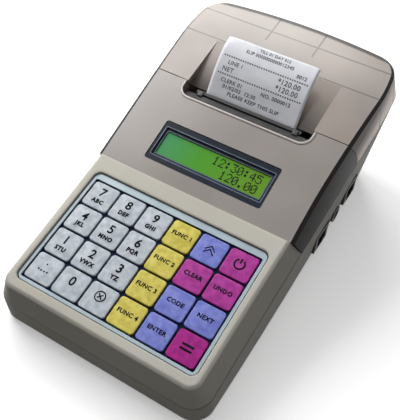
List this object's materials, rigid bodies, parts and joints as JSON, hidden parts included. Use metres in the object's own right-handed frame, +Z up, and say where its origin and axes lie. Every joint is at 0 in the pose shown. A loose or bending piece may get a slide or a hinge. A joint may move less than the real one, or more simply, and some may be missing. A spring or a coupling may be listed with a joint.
{
  "type": "ticket register",
  "caption": "Portable ticket register with a sloping colour-coded keypad, a green character display under a smoked cover, and a hinged smoked paper lid with a receipt.",
  "frame": {"origin": "middle of the footprint, on the surface the feet stand on", "axes": "+X to the user's right, +Y from the keypad towards the paper lid, +Z up"},
  "size_m": [0.1296, 0.2232, 0.0934],
  "materials": {
    "housing": "moulded, lightly textured",
    "smoked_plastic": "smoked, translucent, glossy",
    "keypad_navy": "printed film, satin",
    "keypad_pale": "printed film, satin",
    "key_grey": "satin",
    "key_yellow": "satin",
    "key_blue": "satin",
    "key_magenta": "satin",
    "key_plum": "satin",
    "rubber": "matte",
    "circuit_board": "solder mask",
    "black_plastic": "moulded, satin",
    "grey_plastic": "moulded",
    "white_plastic": "moulded",
    "display_glass": "liquid crystal, lit green",
    "paper": "thermal paper",
    "card": "card tube",
    "steel": "plain",
    "print_head": "plain",
    "brass": "plain",
    "cell_wrap": "shrink sleeve"
  },
  "bodies": {
    "casing": {"lower_housing": "housing", "upper_housing": "housing", "feet": "rubber", "housing_screws": "steel", "key_grid": "keypad_navy", "keypad_panel": "keypad_pale", "key_mat": "rubber", "keypad_board": "circuit_board", "display_cover": "smoked_plastic", "display_bezel": "black_plastic", "display_glass": "display_glass", "display_board": "circuit_board", "hinge_pins": "steel", "paper_bucket": "grey_plastic", "paper_web": "paper", "printer_frame": "steel", "print_head": "print_head", "print_motor": "steel", "tear_bar": "steel", "main_board": "circuit_board", "socket_front": "black_plastic", "socket_back": "black_plastic", "dc_jack": "grey_plastic", "battery_holder": "black_plastic", "battery_pack": "cell_wrap"},
    "lid": {"paper_lid": "smoked_plastic", "receipt": "paper"},
    "platen": {"platen_roller": "rubber", "platen_gear": "white_plastic"},
    "idler": {"idler_gear": "white_plastic"},
    "pinion": {"motor_pinion": "brass", "motor_shaft": "steel"},
    "roll": {"paper_roll": "paper", "roll_core": "card", "roll_spindle": "white_plastic"},
    "key_7": {"key_7": "key_grey"},
    "key_8": {"key_8": "key_grey"},
    "key_9": {"key_9": "key_grey"},
    "key_yellow_1": {"key_yellow_1": "key_yellow"},
    "key_feed": {"key_feed": "key_blue"},
    "key_power": {"key_power": "key_magenta"},
    "key_4": {"key_4": "key_grey"},
    "key_5": {"key_5": "key_grey"},
    "key_6": {"key_6": "key_grey"},
    "key_yellow_2": {"key_yellow_2": "key_yellow"},
    "key_magenta_1": {"key_magenta_1": "key_magenta"},
    "key_magenta_2": {"key_magenta_2": "key_magenta"},
    "key_1": {"key_1": "key_grey"},
    "key_2": {"key_2": "key_grey"},
    "key_3": {"key_3": "key_grey"},
    "key_yellow_3": {"key_yellow_3": "key_yellow"},
    "key_blue_1": {"key_blue_1": "key_blue"},
    "key_blue_2": {"key_blue_2": "key_blue"},
    "key_point": {"key_point": "key_grey"},
    "key_0": {"key_0": "key_grey"},
    "key_cancel": {"key_cancel": "key_grey"},
    "key_yellow_4": {"key_yellow_4": "key_yellow"},
    "key_blue_3": {"key_blue_3": "key_blue"},
    "key_total": {"key_total": "key_plum"}
  },
  "joints": [
    {"name": "lid_hinge", "type": "hinge", "parent": "casing", "child": "lid", "pos_m": [0, 0.1073, 0.0724], "axis": [-1, 0, 0], "range_deg": [0, 95]},
    {"name": "platen_turn", "type": "hinge", "parent": "casing", "child": "platen", "pos_m": [0, 0.0443, 0.05585], "axis": [1, 0, 0], "continuous": true},
    {"name": "idler_turn", "type": "hinge", "parent": "casing", "child": "idler", "pos_m": [0, 0.04156, 0.04494], "axis": [1, 0, 0], "continuous": true},
    {"name": "pinion_turn", "type": "hinge", "parent": "casing", "child": "pinion", "pos_m": [0, 0.04757, 0.03824], "axis": [1, 0, 0], "continuous": true},
    {"name": "roll_turn", "type": "hinge", "parent": "casing", "child": "roll", "pos_m": [0, 0.0788, 0.0455], "axis": [1, 0, 0], "continuous": true},
    {"name": "key_7_press", "type": "slide", "parent": "casing", "child": "key_7", "axis": [0, 0.2402, -0.9707], "range_m": [0, 0.0008], "stiffness_N_per_m": 900, "deforming": ["key_mat"]},
    {"name": "key_8_press", "type": "slide", "parent": "casing", "child": "key_8", "axis": [0, 0.2402, -0.9707], "range_m": [0, 0.0008], "stiffness_N_per_m": 900, "deforming": ["key_mat"]},
    {"name": "key_9_press", "type": "slide", "parent": "casing", "child": "key_9", "axis": [0, 0.2402, -0.9707], "range_m": [0, 0.0008], "stiffness_N_per_m": 900, "deforming": ["key_mat"]},
    {"name": "key_yellow_1_press", "type": "slide", "parent": "casing", "child": "key_yellow_1", "axis": [0, 0.2402, -0.9707], "range_m": [0, 0.0008], "stiffness_N_per_m": 900, "deforming": ["key_mat"]},
    {"name": "key_feed_press", "type": "slide", "parent": "casing", "child": "key_feed", "axis": [0, 0.2402, -0.9707], "range_m": [0, 0.0008], "stiffness_N_per_m": 900, "deforming": ["key_mat"]},
    {"name": "key_power_press", "type": "slide", "parent": "casing", "child": "key_power", "axis": [0, 0.2402, -0.9707], "range_m": [0, 0.0008], "stiffness_N_per_m": 900, "deforming": ["key_mat"]},
    {"name": "key_4_press", "type": "slide", "parent": "casing", "child": "key_4", "axis": [0, 0.2402, -0.9707], "range_m": [0, 0.0008], "stiffness_N_per_m": 900, "deforming": ["key_mat"]},
    {"name": "key_5_press", "type": "slide", "parent": "casing", "child": "key_5", "axis": [0, 0.2402, -0.9707], "range_m": [0, 0.0008], "stiffness_N_per_m": 900, "deforming": ["key_mat"]},
    {"name": "key_6_press", "type": "slide", "parent": "casing", "child": "key_6", "axis": [0, 0.2402, -0.9707], "range_m": [0, 0.0008], "stiffness_N_per_m": 900, "deforming": ["key_mat"]},
    {"name": "key_yellow_2_press", "type": "slide", "parent": "casing", "child": "key_yellow_2", "axis": [0, 0.2402, -0.9707], "range_m": [0, 0.0008], "stiffness_N_per_m": 900, "deforming": ["key_mat"]},
    {"name": "key_magenta_1_press", "type": "slide", "parent": "casing", "child": "key_magenta_1", "axis": [0, 0.2402, -0.9707], "range_m": [0, 0.0008], "stiffness_N_per_m": 900, "deforming": ["key_mat"]},
    {"name": "key_magenta_2_press", "type": "slide", "parent": "casing", "child": "key_magenta_2", "axis": [0, 0.2402, -0.9707], "range_m": [0, 0.0008], "stiffness_N_per_m": 900, "deforming": ["key_mat"]},
    {"name": "key_1_press", "type": "slide", "parent": "casing", "child": "key_1", "axis": [0, 0.2402, -0.9707], "range_m": [0, 0.0008], "stiffness_N_per_m": 900, "deforming": ["key_mat"]},
    {"name": "key_2_press", "type": "slide", "parent": "casing", "child": "key_2", "axis": [0, 0.2402, -0.9707], "range_m": [0, 0.0008], "stiffness_N_per_m": 900, "deforming": ["key_mat"]},
    {"name": "key_3_press", "type": "slide", "parent": "casing", "child": "key_3", "axis": [0, 0.2402, -0.9707], "range_m": [0, 0.0008], "stiffness_N_per_m": 900, "deforming": ["key_mat"]},
    {"name": "key_yellow_3_press", "type": "slide", "parent": "casing", "child": "key_yellow_3", "axis": [0, 0.2402, -0.9707], "range_m": [0, 0.0008], "stiffness_N_per_m": 900, "deforming": ["key_mat"]},
    {"name": "key_blue_1_press", "type": "slide", "parent": "casing", "child": "key_blue_1", "axis": [0, 0.2402, -0.9707], "range_m": [0, 0.0008], "stiffness_N_per_m": 900, "deforming": ["key_mat"]},
    {"name": "key_blue_2_press", "type": "slide", "parent": "casing", "child": "key_blue_2", "axis": [0, 0.2402, -0.9707], "range_m": [0, 0.0008], "stiffness_N_per_m": 900, "deforming": ["key_mat"]},
    {"name": "key_point_press", "type": "slide", "parent": "casing", "child": "key_point", "axis": [0, 0.2402, -0.9707], "range_m": [0, 0.0008], "stiffness_N_per_m": 900, "deforming": ["key_mat"]},
    {"name": "key_0_press", "type": "slide", "parent": "casing", "child": "key_0", "axis": [0, 0.2402, -0.9707], "range_m": [0, 0.0008], "stiffness_N_per_m": 900, "deforming": ["key_mat"]},
    {"name": "key_cancel_press", "type": "slide", "parent": "casing", "child": "key_cancel", "axis": [0, 0.2402, -0.9707], "range_m": [0, 0.0008], "stiffness_N_per_m": 900, "deforming": ["key_mat"]},
    {"name": "key_yellow_4_press", "type": "slide", "parent": "casing", "child": "key_yellow_4", "axis": [0, 0.2402, -0.9707], "range_m": [0, 0.0008], "stiffness_N_per_m": 900, "deforming": ["key_mat"]},
    {"name": "key_blue_3_press", "type": "slide", "parent": "casing", "child": "key_blue_3", "axis": [0, 0.2402, -0.9707], "range_m": [0, 0.0008], "stiffness_N_per_m": 900, "deforming": ["key_mat"]},
    {"name": "key_total_press", "type": "slide", "parent": "casing", "child": "key_total", "axis": [0, 0.2402, -0.9707], "range_m": [0, 0.0008], "stiffness_N_per_m": 900, "deforming": ["key_mat"]}
  ],
  "couplings": [
    {"joint": "platen_turn", "follows": "roll_turn", "ratio": -4.2449},
    {"joint": "idler_turn", "follows": "roll_turn", "ratio": 4.8513},
    {"joint": "pinion_turn", "follows": "roll_turn", "ratio": -6.7918}
  ]
}
